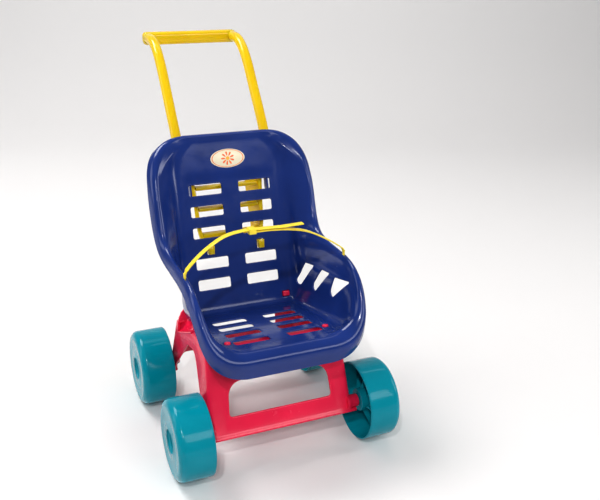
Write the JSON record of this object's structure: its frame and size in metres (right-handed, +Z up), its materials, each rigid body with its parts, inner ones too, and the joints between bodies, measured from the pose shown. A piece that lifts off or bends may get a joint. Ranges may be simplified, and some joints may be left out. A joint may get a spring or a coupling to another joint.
{
  "type": "doll stroller",
  "caption": "Doll stroller with a moulded bucket seat, A-shaped base, U-shaped push handle, swinging lap belt and free-running wide wheels.",
  "frame": {"origin": "on the floor under the middle of the object's box", "axes": "+Z up, the seat faces -Y, X = 0 is the plane of symmetry, and left is -X"},
  "size_m": [0.3248, 0.4876, 0.537],
  "materials": {
    "seat_plastic": "glossy dark blue moulded plastic",
    "base_plastic": "glossy red-pink moulded plastic",
    "handle_plastic": "glossy yellow moulded plastic",
    "belt_plastic": "satin pale yellow flexible plastic",
    "wheel_plastic": "glossy teal moulded plastic",
    "axle_plastic": "glossy teal moulded plastic",
    "label_film": "printed cream film"
  },
  "bodies": {
    "chassis": {"seat_shell": "seat_plastic", "base_frame": "base_plastic", "push_handle": "handle_plastic", "back_label": "label_film", "axle_pin_front_left": "axle_plastic", "axle_pin_front_right": "axle_plastic", "axle_pin_rear_left": "axle_plastic", "axle_pin_rear_right": "axle_plastic"},
    "wheel_body_front_left": {"wheel_front_left": "wheel_plastic"},
    "wheel_body_front_right": {"wheel_front_right": "wheel_plastic"},
    "wheel_body_rear_left": {"wheel_rear_left": "wheel_plastic"},
    "wheel_body_rear_right": {"wheel_rear_right": "wheel_plastic"},
    "belt": {"belt_tongue": "belt_plastic", "belt_buckle": "belt_plastic"}
  },
  "joints": [
    {"name": "wheel_spin_front_left", "type": "hinge", "parent": "chassis", "child": "wheel_body_front_left", "pos_m": [0, -0.18654, 0.05722], "axis": [1, 0, 0], "continuous": true},
    {"name": "wheel_spin_front_right", "type": "hinge", "parent": "chassis", "child": "wheel_body_front_right", "pos_m": [0, -0.18654, 0.05722], "axis": [1, 0, 0], "continuous": true},
    {"name": "wheel_spin_rear_left", "type": "hinge", "parent": "chassis", "child": "wheel_body_rear_left", "pos_m": [0, 0.01706, 0.05722], "axis": [1, 0, 0], "continuous": true},
    {"name": "wheel_spin_rear_right", "type": "hinge", "parent": "chassis", "child": "wheel_body_rear_right", "pos_m": [0, 0.01706, 0.05722], "axis": [1, 0, 0], "continuous": true},
    {"name": "belt_swing", "type": "hinge", "parent": "chassis", "child": "belt", "pos_m": [0, -0.12624, 0.2565], "axis": [1, 0, 0], "range_deg": [-30, 30]}
  ]
}
